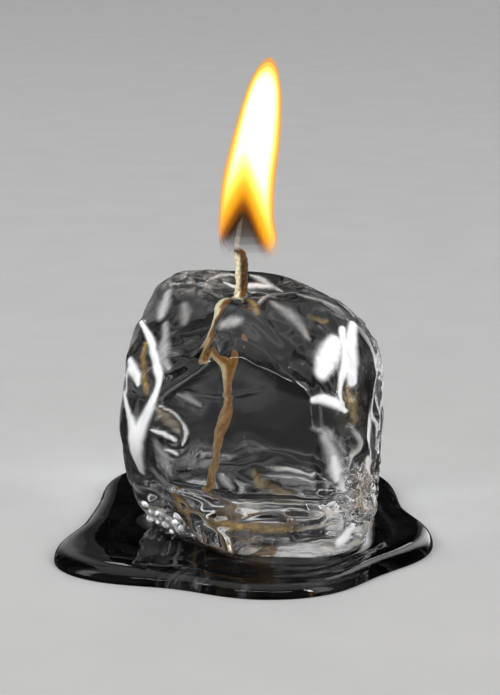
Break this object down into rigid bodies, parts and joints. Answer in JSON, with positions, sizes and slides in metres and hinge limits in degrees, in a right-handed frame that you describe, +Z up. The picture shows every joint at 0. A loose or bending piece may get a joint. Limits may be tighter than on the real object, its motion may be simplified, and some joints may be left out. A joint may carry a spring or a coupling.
{
  "type": "melted candle",
  "caption": "Clear, ice-like block candle, lit, its edges melted back and one side chipped, with a cord wick, a flame and a puddle of melt round its foot.",
  "frame": {"origin": "middle of the block's flat underside, on the table", "axes": "+Z up along the wick to the flame's tip, the front faces -Y, +X to the right seen from the front"},
  "size_m": [0.057, 0.0618, 0.0746],
  "materials": {
    "clear_melt": "clear and wet, with milky and chipped places",
    "cord": "golden-brown cord, burnt black at its end",
    "pool_melt": "clear liquid",
    "puddle_melt": "clear liquid with a rounded rim",
    "flame": "glowing, see-through"
  },
  "bodies": {
    "root": {"clear_block": "clear_melt", "wick": "cord", "melt_pool": "pool_melt", "melt_puddle": "puddle_melt", "flame": "flame"}
  },
  "joints": []
}
